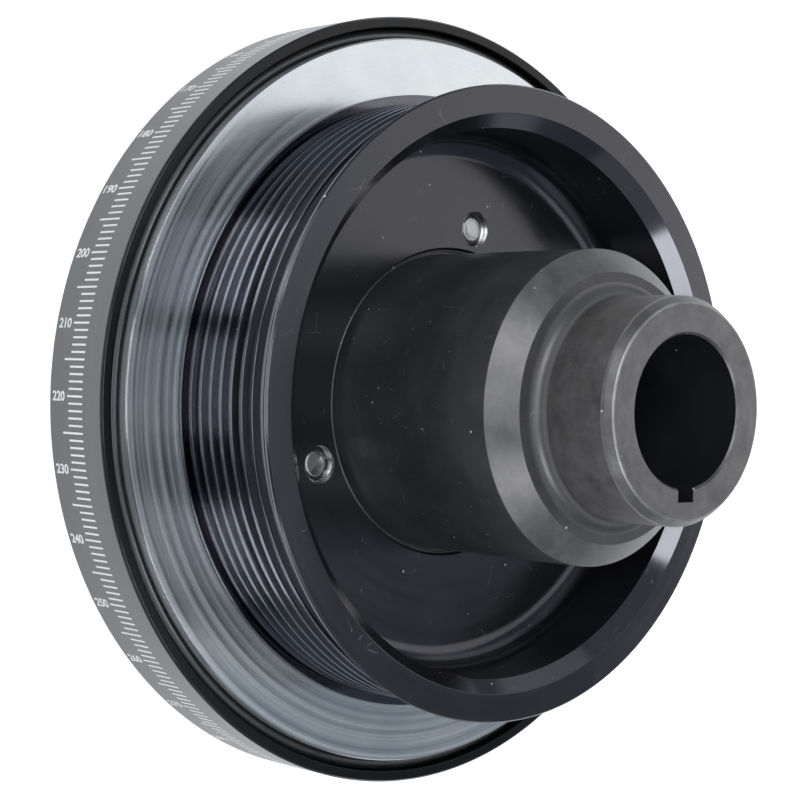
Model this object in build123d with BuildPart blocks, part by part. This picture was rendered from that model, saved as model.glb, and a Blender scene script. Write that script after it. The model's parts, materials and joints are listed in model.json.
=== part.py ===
"""Harmonic balancer with a multi-rib belt pulley behind it.

The crank's axis is Z. The part stands on its front face at z = 0, with the hub's nose up,
and the keyway lies on +X. Millimetres. Radii build outwards from the nose, and levels
build back from the front face.
"""
from build123d import *
import os

os.makedirs("parts", exist_ok=True)

# ---- driving dimensions ----------------------------------------------------------------
overall_height = 101.8        # front face to the end of the nose

# hub's nose and barrel
bore_radius = 16.0
bore_chamfer = 0.5
nose_radius = 24.1
nose_chamfer_width = 1.4
nose_chamfer_length = 1.9
nose_fillet = 3.0
key_width = 4.76
key_depth = 2.8               # bore wall to the keyway's floor
barrel_end = 20.0             # length of the nose past the barrel
barrel_shoulder = 5.0         # flat ring between the nose and the barrel's chamfer
barrel_chamfer = 5.2
pilot_step = 1.2              # the pilot stands this far out from the barrel
pilot_setback = 0.4           # the pilot ends this far under the pulley's floor
pilot_chamfer = 0.5

# hub's front
flange_thickness = 10.0
flange_rim = 6.6              # middle of a shell screw to the flange's edge
boss_wall = 2.5               # metal between a screw head's recess and the boss's edge
bolt_recess_radius = 24.0
bolt_recess_depth = 12.0
puller_hole_count = 3
puller_hole_radius = 4.76
puller_hole_chamfer = 0.6
puller_hole_wall = 4.6        # metal between the bolt recess and a puller hole
puller_hole_floor = 2.5       # metal left behind a puller hole

# outer shell: a cup with a thin rim, which carries the timing marks
rim_wall = 2.5
web_thickness = 4.5
shell_edge_break = 0.4
cup_corner_radius = 1.2

# inertia weight: a floating steel ring
weight_lip = 7.3              # width of the inner lip, under the inner shell
weight_land = 14.1            # width of the thick outer ring
weight_proud = 1.2            # how far the weight's face stands past the rim
weight_chamfer = 0.5
rim_gap = 2.65                # radial gap that the rim rings bridge
face_gap = 0.8                # gap between the weight and each face or bore that it floats by

# rubber rings
cord_diameter = 3.53
ring_squeeze = 0.06           # share of the cord's diameter that is pressed flat
seat_clearance = 0.02         # free space left each side of a squeezed ring
groove_side_gap = 0.22        # free space left each side of a ring along its wall
rim_ring_inset = 3.25         # mouth of the cup to the middle of the rear rim ring
front_ring_inset = 3.2        # weight's front to the middle of the front rim ring
outer_ring_inset = 5.7        # weight's edge to the middle of the outer face ring
inner_ring_wall = 1.3         # metal between the weight's bore and the inner ring's groove

# inner shell
inner_shell_thickness = 7.3
inner_shell_gap = 0.6         # radial, to the weight's step

# pulley
rib_count = 8
rib_pitch = 3.56
groove_mouth = 2.66
groove_root = 0.5
groove_depth = 2.95
rib_drop = 2.15               # rib tips lie this far inside the flanges
belt_flange = 0.96            # thickness of each belt flange at its edge
pulley_overhang = 1.5         # the flanges stand this far past the inner shell
pulley_rim = 9.5              # width of the pulley's rear face
pulley_weight_gap = 0.4       # between the front flange and the weight
pulley_edge_chamfer = 0.35
pulley_web = 7.7
dish_chamfer = 3.1
dish_fillet = 5.5
pulley_bore_chamfer = 0.3

# fits
register_clearance = 0.05     # radial, between each register and what centres on it
thread_clearance = 0.05       # radial, between a screw and its tapped hole
screw_clearance = 0.3         # radial, round a screw in a plain hole
head_clearance = 0.5          # radial, round a screw's head in its recess

# pulley screws: cap screws from the front, which end inside the pulley's web
pulley_screw_count = 3
pulley_screw_angle = 50.0     # first screw, from the keyway
pulley_screw_wall = 1.4       # metal between the pilot and a tapped hole
pulley_screw_radius = 4.0
pulley_screw_head_radius = 6.5
pulley_screw_head_height = 8.0
pulley_screw_hex = 6.0
pulley_screw_socket = 4.0     # depth of the hexagon socket
pulley_screw_head_setback = 1.0
pulley_screw_tip_setback = 1.2
pulley_screw_tip_chamfer = 1.0
tapped_hole_chamfer = 0.45

# shell screws: flat-head screws from the front
shell_screw_count = 6
shell_screw_wall = 0.8        # metal between the shell's bore and a screw's head
shell_screw_radius = 2.5
shell_screw_head_radius = 4.6
shell_screw_hex = 3.0
shell_screw_socket = 2.1      # depth of the hexagon socket
shell_screw_engagement = 5.5
shell_screw_sink = 0.2        # head's face under the shell's front
flat_head_angle = 90.0

# ---- worked-out places -------------------------------------------------------------------
# levels, from the front face back
flange_back = web_thickness + flange_thickness
inner_shell_back = flange_back + inner_shell_thickness
pulley_front = inner_shell_back
pulley_back = pulley_front + rib_count * rib_pitch + 2 * belt_flange
floor_level = pulley_front + pulley_web
pilot_end = floor_level - pilot_setback
barrel_top = overall_height - barrel_end
weight_front = web_thickness + face_gap
weight_back = pulley_front - pulley_weight_gap
weight_step = flange_back - face_gap
rim_height = weight_back - weight_proud
puller_hole_depth = flange_back - puller_hole_floor
pulley_screw_end = floor_level - pulley_screw_tip_setback
pulley_screw_seat = pulley_screw_head_setback + pulley_screw_head_height
shell_screw_end = flange_back + shell_screw_engagement

# squeezed rings and their grooves
ring_height = cord_diameter * (1 - ring_squeeze)
ring_width = cord_diameter**2 / ring_height      # the squeezed section keeps its area
ring_half_height = ring_height / 2 - seat_clearance
ring_half_width = ring_width / 2
groove_width = ring_width + 2 * groove_side_gap
face_groove_depth = ring_height - face_gap
rim_groove_depth = ring_height - rim_gap

# radii, from the nose outwards
barrel_radius = nose_radius + barrel_shoulder + barrel_chamfer
pilot_radius = barrel_radius + pilot_step
register_radius = pilot_radius + register_clearance
tapped_hole_radius = pulley_screw_radius + thread_clearance
pulley_screw_circle = register_radius + pulley_screw_wall + tapped_hole_radius
head_recess_radius = pulley_screw_head_radius + head_clearance
boss_radius = pulley_screw_circle + head_recess_radius + boss_wall
puller_circle_radius = bolt_recess_radius + puller_hole_wall + puller_hole_radius
shell_screw_circle = boss_radius + shell_screw_wall + shell_screw_head_radius
flange_radius = shell_screw_circle + flange_rim
weight_bore_radius = flange_radius + face_gap
weight_step_radius = weight_bore_radius + weight_lip
weight_radius = weight_step_radius + weight_land
inner_shell_radius = weight_step_radius - inner_shell_gap
cup_radius = weight_radius + rim_gap
rim_radius = cup_radius + rim_wall
pulley_radius = inner_shell_radius + pulley_overhang
rib_tip_radius = pulley_radius - rib_drop
dish_radius = pulley_radius - pulley_rim

# rings, and what turns round the axis in step with the pulley screws
rim_ring_radius = cup_radius - ring_height / 2
rim_ring_rear_level = rim_height - rim_ring_inset
rim_ring_front_level = weight_front + front_ring_inset
outer_face_ring_radius = weight_radius - outer_ring_inset
inner_face_ring_radius = weight_bore_radius + inner_ring_wall + groove_width / 2
flange_ring_radius = weight_bore_radius - ring_height / 2
flange_ring_level = web_thickness + flange_thickness / 2
puller_hole_angle = pulley_screw_angle - 180 / pulley_screw_count
shell_screw_angle = pulley_screw_angle - 180 / shell_screw_count

front_plane = Plane(origin=(0, 0, 0), x_dir=(1, 0, 0), z_dir=(0, 0, -1))


def around(circle_radius, count, first_angle):
    """Places evenly spaced on a circle, on a plane that faces back."""
    return PolarLocations(circle_radius, count, start_angle=first_angle)


def around_front(circle_radius, count, first_angle):
    """The same places on the front plane, whose angles run the other way."""
    return PolarLocations(circle_radius, count, start_angle=-first_angle)


def face_ring_level(flat_side):
    """Level of a face ring's middle, from the flat side that the ring presses on."""
    return flat_side + ring_height / 2


# ---- hub ----------------------------------------------------------------------------------
with BuildPart() as hub:
    with BuildSketch(Plane.XZ):
        with BuildLine():
            Polyline(
                (bore_radius, bolt_recess_depth),
                (bolt_recess_radius, bolt_recess_depth),
                (bolt_recess_radius, 0),
                (boss_radius, 0),
                (boss_radius, web_thickness),
                (flange_radius, web_thickness),
                (flange_radius, flange_back),
                (pilot_radius, flange_back),
                (pilot_radius, pilot_end - pilot_chamfer),
                (pilot_radius - pilot_chamfer, pilot_end),
                (barrel_radius, pilot_end),
                (barrel_radius, barrel_top - barrel_chamfer),
                (barrel_radius - barrel_chamfer, barrel_top),
                (nose_radius, barrel_top),
                (nose_radius, overall_height - nose_chamfer_length),
                (nose_radius - nose_chamfer_width, overall_height),
                (bore_radius, overall_height),
                close=True,
            )
        make_face()
        with Locations((flange_radius, flange_ring_level)):
            Rectangle(2 * face_groove_depth, groove_width, mode=Mode.SUBTRACT)
    revolve(axis=Axis.Z)
    neck = hub.edges().filter_by(GeomType.CIRCLE).filter_by_position(Axis.Z, barrel_top, barrel_top)
    fillet(neck.sort_by(SortBy.RADIUS)[0], radius=nose_fillet)
    mouth = hub.edges().filter_by(GeomType.CIRCLE).filter_by_position(Axis.Z, overall_height, overall_height)
    chamfer(mouth.sort_by(SortBy.RADIUS)[0], length=bore_chamfer)
    with BuildSketch(Plane.XY.offset(overall_height)):
        Rectangle(bore_radius + key_depth, key_width, align=(Align.MIN, Align.CENTER))
    extrude(amount=bolt_recess_depth - overall_height, mode=Mode.SUBTRACT)
    with Locations(front_plane):
        with around_front(pulley_screw_circle, pulley_screw_count, pulley_screw_angle):
            CounterBoreHole(
                radius=pulley_screw_radius + screw_clearance,
                counter_bore_radius=head_recess_radius,
                counter_bore_depth=pulley_screw_seat,
                depth=flange_back,
            )
        with around_front(puller_circle_radius, puller_hole_count, puller_hole_angle):
            Hole(radius=puller_hole_radius, depth=puller_hole_depth)
        with around_front(shell_screw_circle, shell_screw_count, shell_screw_angle):
            Hole(radius=shell_screw_radius + screw_clearance, depth=flange_back)
    puller_mouths = hub.edges().filter_by(GeomType.CIRCLE).filter_by_position(Axis.Z, 0, 0)
    chamfer(
        puller_mouths.filter_by(lambda edge: abs(edge.radius - puller_hole_radius) < register_clearance),
        length=puller_hole_chamfer,
    )

# ---- outer shell --------------------------------------------------------------------------
with BuildPart() as outer_shell:
    with BuildSketch(Plane.XZ):
        with BuildLine():
            Polyline(
                (boss_radius + register_clearance, 0),
                (rim_radius - shell_edge_break, 0),
                (rim_radius, shell_edge_break),
                (rim_radius, rim_height - shell_edge_break),
                (rim_radius - shell_edge_break, rim_height),
                (cup_radius, rim_height),
                (cup_radius, web_thickness),
                (boss_radius + register_clearance, web_thickness),
                close=True,
            )
        make_face()
    revolve(axis=Axis.Z)
    corner = outer_shell.edges().filter_by(GeomType.CIRCLE).filter_by_position(
        Axis.Z, web_thickness, web_thickness
    )
    fillet(corner.sort_by(SortBy.RADIUS)[-1], radius=cup_corner_radius)
    with Locations(front_plane):
        with around_front(shell_screw_circle, shell_screw_count, shell_screw_angle):
            CounterSinkHole(
                radius=shell_screw_radius + screw_clearance,
                counter_sink_radius=shell_screw_head_radius + shell_screw_sink + thread_clearance,
                depth=web_thickness,
                counter_sink_angle=flat_head_angle,
            )

# ---- inertia weight -----------------------------------------------------------------------
with BuildPart() as inertia_weight:
    with BuildSketch(Plane.XZ):
        with BuildLine():
            Polyline(
                (weight_bore_radius, weight_front),
                (weight_radius - weight_chamfer, weight_front),
                (weight_radius, weight_front + weight_chamfer),
                (weight_radius, weight_back - weight_chamfer),
                (weight_radius - weight_chamfer, weight_back),
                (weight_step_radius, weight_back),
                (weight_step_radius, weight_step),
                (weight_bore_radius, weight_step),
                close=True,
            )
        make_face()
        with Locations(
            (weight_radius, rim_ring_rear_level),
            (weight_radius, rim_ring_front_level),
        ):
            Rectangle(2 * rim_groove_depth, groove_width, mode=Mode.SUBTRACT)
        with Locations(
            (outer_face_ring_radius, weight_front),
            (inner_face_ring_radius, weight_front),
        ):
            Rectangle(groove_width, 2 * face_groove_depth, mode=Mode.SUBTRACT)
    revolve(axis=Axis.Z)

# ---- inner shell --------------------------------------------------------------------------
with BuildPart() as inner_shell:
    with BuildSketch(Plane.XZ):
        with Locations((register_radius, flange_back)):
            Rectangle(
                inner_shell_radius - register_radius,
                inner_shell_thickness,
                align=(Align.MIN, Align.MIN),
            )
        with Locations((inner_face_ring_radius, flange_back)):
            Rectangle(groove_width, 2 * face_groove_depth, mode=Mode.SUBTRACT)
    revolve(axis=Axis.Z)
    with Locations(Plane.XY.offset(inner_shell_back)):
        with around(pulley_screw_circle, pulley_screw_count, pulley_screw_angle):
            Hole(radius=pulley_screw_radius + screw_clearance, depth=inner_shell_thickness)
        with around(shell_screw_circle, shell_screw_count, shell_screw_angle):
            Hole(radius=shell_screw_radius + thread_clearance, depth=inner_shell_thickness)

# ---- pulley -------------------------------------------------------------------------------
with BuildPart() as pulley:
    with BuildSketch(Plane.XZ):
        with BuildLine():
            Polyline(
                (register_radius, pulley_front),
                (pulley_radius - pulley_edge_chamfer, pulley_front),
                (pulley_radius, pulley_front + pulley_edge_chamfer),
                (pulley_radius, pulley_back - pulley_edge_chamfer),
                (pulley_radius - pulley_edge_chamfer, pulley_back),
                (dish_radius + dish_chamfer, pulley_back),
                (dish_radius, pulley_back - dish_chamfer),
                (dish_radius, floor_level),
                (register_radius + pulley_bore_chamfer, floor_level),
                (register_radius, floor_level - pulley_bore_chamfer),
                close=True,
            )
        make_face()
        with Locations((rib_tip_radius, pulley_front + belt_flange)):
            Rectangle(
                2 * rib_drop, rib_count * rib_pitch, align=(Align.MIN, Align.MIN), mode=Mode.SUBTRACT
            )
        first_groove = pulley_front + belt_flange + rib_pitch / 2
        with Locations([(rib_tip_radius, first_groove + rib * rib_pitch) for rib in range(rib_count)]):
            Polygon(
                (0, groove_mouth / 2),
                (-groove_depth, groove_root / 2),
                (-groove_depth, -groove_root / 2),
                (0, -groove_mouth / 2),
                align=None,
                mode=Mode.SUBTRACT,
            )
    revolve(axis=Axis.Z)
    dish_corner = pulley.edges().filter_by(GeomType.CIRCLE).filter_by_position(
        Axis.Z, floor_level, floor_level
    )
    fillet(dish_corner.sort_by(SortBy.RADIUS)[-1], radius=dish_fillet)
    with Locations(Plane.XY.offset(floor_level)):
        with around(pulley_screw_circle, pulley_screw_count, pulley_screw_angle):
            Hole(radius=tapped_hole_radius, depth=pulley_web)
    tapped_mouths = pulley.edges().filter_by(GeomType.CIRCLE).filter_by_position(
        Axis.Z, floor_level, floor_level
    )
    chamfer(
        tapped_mouths.filter_by(lambda edge: edge.radius < register_radius / 2),
        length=tapped_hole_chamfer,
    )

# ---- rubber rings -------------------------------------------------------------------------
# radius and level of each ring's middle, and whether it is squeezed in radius
rubber_rings = {
    "rim_ring_rear": (rim_ring_radius, rim_ring_rear_level, True),
    "rim_ring_front": (rim_ring_radius, rim_ring_front_level, True),
    "outer_face_ring": (outer_face_ring_radius, face_ring_level(web_thickness), False),
    "inner_face_ring": (inner_face_ring_radius, face_ring_level(web_thickness), False),
    "back_face_ring": (inner_face_ring_radius, face_ring_level(weight_step), False),
    "flange_ring": (flange_ring_radius, flange_ring_level, True),
}
for ring_name, (ring_radius, ring_level, squeezed_in_radius) in rubber_rings.items():
    half_x = ring_half_height if squeezed_in_radius else ring_half_width
    half_z = ring_half_width if squeezed_in_radius else ring_half_height
    with BuildPart() as rubber_ring:
        with BuildSketch(Plane.XZ):
            with Locations((ring_radius, ring_level)):
                Ellipse(half_x, half_z)
        revolve(axis=Axis.Z)
    rubber_ring.part.label = ring_name
    export_step(rubber_ring.part, f"parts/{ring_name}.step")

# ---- pulley screws ------------------------------------------------------------------------
with BuildPart() as pulley_screw:
    with BuildSketch(Plane.XY.offset(pulley_screw_head_setback)):
        Circle(pulley_screw_head_radius)
    extrude(amount=pulley_screw_head_height)
    with BuildSketch(Plane.XY.offset(pulley_screw_seat)):
        Circle(pulley_screw_radius)
    extrude(amount=pulley_screw_end - pulley_screw_seat)
    chamfer(pulley_screw.edges().sort_by(Axis.Z)[-1], length=pulley_screw_tip_chamfer)
    with BuildSketch(Plane.XY.offset(pulley_screw_head_setback)):
        RegularPolygon(pulley_screw_hex / 2, 6, major_radius=False)
    extrude(amount=pulley_screw_socket, mode=Mode.SUBTRACT)

with BuildPart() as pulley_screws:
    with around(pulley_screw_circle, pulley_screw_count, pulley_screw_angle):
        add(pulley_screw.part)

# ---- shell screws -------------------------------------------------------------------------
with BuildPart() as shell_screw:
    with BuildSketch(Plane.XZ):
        with BuildLine():
            Polyline(
                (0, shell_screw_sink),
                (shell_screw_head_radius, shell_screw_sink),
                (shell_screw_radius, shell_screw_sink + shell_screw_head_radius - shell_screw_radius),
                (shell_screw_radius, shell_screw_end),
                (0, shell_screw_end),
                close=True,
            )
        make_face()
    revolve(axis=Axis.Z)
    with BuildSketch(Plane.XY.offset(shell_screw_sink)):
        RegularPolygon(shell_screw_hex / 2, 6, major_radius=False)
    extrude(amount=shell_screw_socket, mode=Mode.SUBTRACT)

with BuildPart() as shell_screws:
    with around(shell_screw_circle, shell_screw_count, shell_screw_angle):
        add(shell_screw.part)

# ---- labels and files ---------------------------------------------------------------------
pieces = {
    "hub": hub,
    "outer_shell": outer_shell,
    "inertia_weight": inertia_weight,
    "inner_shell": inner_shell,
    "pulley": pulley,
    "pulley_screws": pulley_screws,
    "shell_screws": shell_screws,
}
for piece_name, piece in pieces.items():
    piece.part.label = piece_name
    export_step(piece.part, f"parts/{piece_name}.step")
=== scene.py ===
import json
import math
import bpy
import numpy as np
from mathutils import Matrix, Vector


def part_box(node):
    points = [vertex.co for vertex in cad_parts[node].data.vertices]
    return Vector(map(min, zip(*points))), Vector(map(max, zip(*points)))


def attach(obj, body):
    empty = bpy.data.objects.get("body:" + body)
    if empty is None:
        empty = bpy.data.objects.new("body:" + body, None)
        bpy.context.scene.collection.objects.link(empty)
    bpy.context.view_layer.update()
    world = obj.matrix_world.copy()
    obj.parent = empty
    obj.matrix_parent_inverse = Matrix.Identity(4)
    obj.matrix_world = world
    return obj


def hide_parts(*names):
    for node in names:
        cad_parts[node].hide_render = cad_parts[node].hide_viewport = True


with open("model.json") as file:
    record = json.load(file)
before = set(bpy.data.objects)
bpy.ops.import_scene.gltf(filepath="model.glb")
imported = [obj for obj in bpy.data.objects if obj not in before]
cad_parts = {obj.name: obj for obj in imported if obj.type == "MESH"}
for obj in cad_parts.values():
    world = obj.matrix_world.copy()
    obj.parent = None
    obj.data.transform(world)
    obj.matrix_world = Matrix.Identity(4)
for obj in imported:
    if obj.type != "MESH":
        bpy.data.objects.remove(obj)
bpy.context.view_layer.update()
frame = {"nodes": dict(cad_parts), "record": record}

mm = 0.001
softest = 35           # degrees between faces past which an edge is hard
hair = 0.02 * mm       # tests of place are eased by a hair or a sliver, so that rounding can't flip them
sliver = 0.05 * mm
samePoint = 1e-7       # metres between points that are taken as one
beyond = 1 * mm        # cutters run this far past the surface that they cut
print("frame loaded:", len(frame["nodes"]), "nodes")

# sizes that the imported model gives, in metres
mountSizes = {m["name"]: m.get("dims", {}) for m in frame["record"]["mounts"]}
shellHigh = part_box("outer_shell")[1]
weightLow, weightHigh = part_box("inertia_weight")
pulleyLow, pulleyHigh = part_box("pulley")
hubLow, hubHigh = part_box("hub")
boreRadius = mountSizes["crank_bore"]["r_mm"] * mm
noseRadius = mountSizes["seal_nose"]["r_mm"] * mm
boltRecessRadius = mountSizes["bolt_recess"]["r_mm"] * mm
boltRecessDepth = mountSizes["bolt_recess"]["length_mm"] * mm


# Meshes worked out with numpy

# A closed outline in (radius, height). A corner (r, z, bend) becomes an arc of radius bend that
# touches both its sides: centre = corner + bend / sin(half angle) along the bisector.
def roundedProfile(corners, steps=4):
    given = np.array(corners, float)
    here, bend = given[:, :2], given[:, 2]
    before, after = np.roll(here, 1, axis=0), np.roll(here, -1, axis=0)
    toBefore = (before - here) / np.linalg.norm(before - here, axis=1)[:, None]
    toAfter = (after - here) / np.linalg.norm(after - here, axis=1)[:, None]
    half = np.arccos(np.clip((toBefore * toAfter).sum(1), -1, 1)) / 2
    bisector = toBefore + toAfter
    # a point on a straight side has no bisector
    bisector /= np.maximum(np.linalg.norm(bisector, axis=1), 1e-9)[:, None]
    centre = here + bisector * (bend / np.sin(half))[:, None]
    start = here + toBefore * (bend / np.tan(half))[:, None] - centre
    sweep = (np.pi - 2 * half) * np.sign(toBefore[:, 0] * toAfter[:, 1] - toBefore[:, 1] * toAfter[:, 0])
    share = np.linspace(0, 1, steps + 1)[None, :]
    turn = -sweep[:, None] * share
    arcX = start[:, :1] * np.cos(turn) - start[:, 1:] * np.sin(turn)
    arcZ = start[:, :1] * np.sin(turn) + start[:, 1:] * np.cos(turn)
    points = (np.stack([arcX, arcZ], -1) + centre[:, None, :]).reshape(-1, 2)
    gap = np.linalg.norm(points - np.roll(points, 1, axis=0), axis=1)
    return points[gap > samePoint]


# Quads of a grid of points: (i, j), (i, j + 1), (i + 1, j + 1), (i + 1, j), wrapped where it closes.
def gridFaces(rows, columns, closeRows, closeColumns):
    i = np.arange(rows if closeRows else rows - 1)[:, None]
    j = np.arange(columns if closeColumns else columns - 1)[None, :]
    nextI, nextJ = (i + 1) % rows, (j + 1) % columns
    quads = [i * columns + j, i * columns + nextJ, nextI * columns + nextJ, nextI * columns + j]
    return np.stack(quads, -1).reshape(-1, 4)


# The same faces, turned over when the volume they enclose comes out negative.
def outward(points, faces):
    a, b, c = points[faces[:, 0]], points[faces[:, 1]], points[faces[:, 2]]
    volume = np.einsum("ij,ij->i", a, np.cross(b, c)).sum()
    if faces.shape[1] == 4:
        d = points[faces[:, 3]]
        volume += np.einsum("ij,ij->i", a, np.cross(c, d)).sum()
    return faces if volume > 0 else faces[:, ::-1]


# An object with this mesh, lamp or camera in it, linked to the scene.
def addObject(name, data):
    holder = bpy.data.objects.new(name, data)
    bpy.context.scene.collection.objects.link(holder)
    return holder


# An object from an array of points and the faces between them, with no smooth shading.
def flatMesh(name, points, faces):
    mesh = bpy.data.meshes.new(name)
    mesh.from_pydata(points.tolist(), [], [list(f) for f in faces])
    return addObject(name, mesh)


# An object from arrays of points and faces, smooth but for edges sharper than sharpAngle degrees.
def makeMesh(name, points, faces, sharpAngle=softest):
    piece = flatMesh(name, points, faces)
    piece.data.validate()
    shadeByAngle(piece, sharpAngle)
    return piece


# Smooth shading, with a hard edge wherever two faces meet at more than sharpAngle degrees.
def shadeByAngle(piece, sharpAngle):
    mesh = piece.data
    mesh.polygons.foreach_set("use_smooth", np.ones(len(mesh.polygons), bool))
    mesh.set_sharp_from_angle(angle=math.radians(sharpAngle))


# A closed outline turned round Z: x = r cos(a), y = r sin(a), z = height.
def revolved(name, profile, segments, sharpAngle=softest):
    angle = np.linspace(0, 2 * np.pi, segments, endpoint=False)[None, :]
    radius, height = profile[:, :1], profile[:, 1:]
    points = np.stack([radius * np.cos(angle), radius * np.sin(angle), height + 0 * angle], -1).reshape(-1, 3)
    faces = gridFaces(len(profile), segments, True, True)
    return makeMesh(name, points, outward(points, faces), sharpAngle)


# A rod's points and faces from an open outline (radius, height), closed by a flat fan at each end.
# Between threadFrom and threadTo the radius gains depth times a triangle wave of (height / pitch - turns).
def rodSurface(profile, segments, pitch=0.0, depth=0.0, threadFrom=0.0, threadTo=0.0):
    angle = np.linspace(0, 2 * np.pi, segments, endpoint=False)[None, :]
    radius, height = profile[:, :1] + 0 * angle, profile[:, 1:] + 0 * angle
    if pitch:
        phase = (height / pitch - angle / (2 * np.pi)) % 1.0
        wave = 1.0 - 2.0 * np.abs(phase - 0.5)
        inside = np.clip((height - threadFrom) / pitch, 0, 1) * np.clip((threadTo - height) / pitch, 0, 1)
        radius = radius + depth * (wave - 1.0) * inside
    ring = np.stack([radius * np.cos(angle), radius * np.sin(angle), height], -1).reshape(-1, 3)
    rows = len(profile)
    ends = np.array([[0, 0, profile[0, 1]], [0, 0, profile[-1, 1]]])
    points = np.vstack([ring, ends])
    j = np.arange(segments)
    nextJ = (j + 1) % segments
    low = np.stack([j, nextJ, np.full(segments, rows * segments)], -1)
    high = np.stack([(rows - 1) * segments + nextJ, (rows - 1) * segments + j,
                     np.full(segments, rows * segments + 1)], -1)
    quads = gridFaces(rows, segments, False, True)[:, ::-1]
    return points, quads, np.vstack([low, high])


# A closed rod standing on Z, as rodSurface gives it, with its faces turned outwards.
def rodMesh(name, profile, segments, **thread):
    points, quads, fans = rodSurface(profile, segments, **thread)
    triangles = np.vstack([quads[:, [0, 1, 2]], quads[:, [0, 2, 3]], fans])
    turned = outward(points, triangles)
    if not (turned == triangles).all():
        quads, fans = quads[:, ::-1], fans[:, ::-1]
    return makeMesh(name, points, [*quads, *fans])


# A straight-sided block: the flat outline (x, y) at height low and again at height high.
def prism(name, outline, low, high):
    flat = np.array(outline, float)
    count = len(flat)
    points = np.vstack([np.c_[flat, np.full(count, low)], np.c_[flat, np.full(count, high)]])
    j = np.arange(count)
    nextJ = (j + 1) % count
    sides = np.stack([j, nextJ, nextJ + count, j + count], -1)
    return flatMesh(name, points, [*sides, j[::-1], j + count])


# Moves the mesh itself to a place at this distance from the axis, at this angle round it.
def placed(piece, distance, degrees, turn=0.0):
    out = Matrix.Rotation(math.radians(degrees), 4, "Z") @ Matrix.Translation((distance, 0, 0))
    piece.data.transform(out @ Matrix.Rotation(math.radians(turn), 4, "Z"))
    return piece


# One object from several, their meshes laid in one.
def joined(name, parts):
    with bpy.context.temp_override(active_object=parts[0], object=parts[0], selected_objects=parts,
                                   selected_editable_objects=parts):
        bpy.ops.object.join()
    parts[0].name = name
    parts[0].data.name = name
    return parts[0]


# Makes this modifier's result the piece's own mesh.
def applyModifier(piece, name):
    with bpy.context.temp_override(object=piece, active_object=piece):
        bpy.ops.object.modifier_apply(modifier=name)


# Takes the cutters' volume out of the piece, and shades what is left again.
def cutAway(piece, cutters, sharpAngle=softest):
    tool = cutters[0] if len(cutters) == 1 else joined("cutter", cutters)
    cut = piece.modifiers.new("cut", "BOOLEAN")
    cut.object = tool
    cut.operation = "DIFFERENCE"
    cut.solver = "EXACT"
    applyModifier(piece, "cut")
    bpy.data.objects.remove(tool)
    shadeByAngle(piece, sharpAngle)
    return piece


# Lets big flat faces set the shading where they meet small round edges.
def evenNormals(piece):
    weighted = piece.modifiers.new("even", "WEIGHTED_NORMAL")
    weighted.mode = "FACE_AREA"
    weighted.weight = 100
    weighted.keep_sharp = True
    applyModifier(piece, "even")
    return piece


# Gives the piece its finish, its place on the body and the CAD nodes that it stands for.
def dress(piece, name, slot, *nodes):
    piece.data.materials.clear()
    piece.data.materials.append(finish[name])
    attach(piece, "root")
    if nodes:
        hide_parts(*nodes)
    return piece


# Nodes for the finishes

# A node with its settings, each input a value or another node's output.
def addNode(tree, kind, inputs=None, **settings):
    node = tree.nodes.new(kind)
    for name, value in settings.items():
        setattr(node, name, value)
    for socket, value in (inputs or {}).items():
        if isinstance(value, bpy.types.NodeSocket):
            tree.links.new(value, node.inputs[socket])
        else:
            node.inputs[socket].default_value = value
    return node


# A Math node's output.
def calc(tree, operation, first, second=0.0, third=0.0, clamp=False):
    node = addNode(tree, "ShaderNodeMath", {0: first, 1: second, 2: third}, operation=operation)
    node.use_clamp = clamp
    return node.outputs[0]


# Where a point lies in the piece's own frame, in metres.
def objectPlace(tree):
    return addNode(tree, "ShaderNodeTexCoord").outputs["Object"]


# A Vector Math node's output.
def vectorCalc(tree, operation, first, second=None, output="Vector", **inputs):
    inputs = {**inputs, 0: first} if second is None else {**inputs, 0: first, 1: second}
    return addNode(tree, "ShaderNodeVectorMath", inputs, operation=operation).outputs[output]


# A Noise Texture's output: a value, or a colour where output says so.
def noise(tree, place, scale, detail, output="Fac", **inputs):
    inputs = {"Vector": place, "Scale": scale, "Detail": detail, **inputs}
    return addNode(tree, "ShaderNodeTexNoise", inputs).outputs[output]


# An empty node group with float inputs (name: value) and outputs (name: socket type).
def newGroup(name, inputs, outputs):
    tree = bpy.data.node_groups.new(name, "ShaderNodeTree")
    for label, value in inputs.items():
        socket = tree.interface.new_socket(name=label, in_out="INPUT", socket_type="NodeSocketFloat")
        socket.default_value = value
    for label, kind in outputs.items():
        tree.interface.new_socket(name=label, in_out="OUTPUT", socket_type=kind)
    return tree, tree.nodes.new("NodeGroupInput"), tree.nodes.new("NodeGroupOutput")


heightShare = 0.83            # the height counts beside the radius, so that walls get lines too
bandShare = 0.17              # broad bands for each fine line
bandContrast = (2.4, -0.7)    # gain and shift that spread the bands over 0 to 1
leastSpeck = 0.35             # added to every speck's chance size
faintSpecks = 3.0             # the higher, the more of the specks are faint


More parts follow.
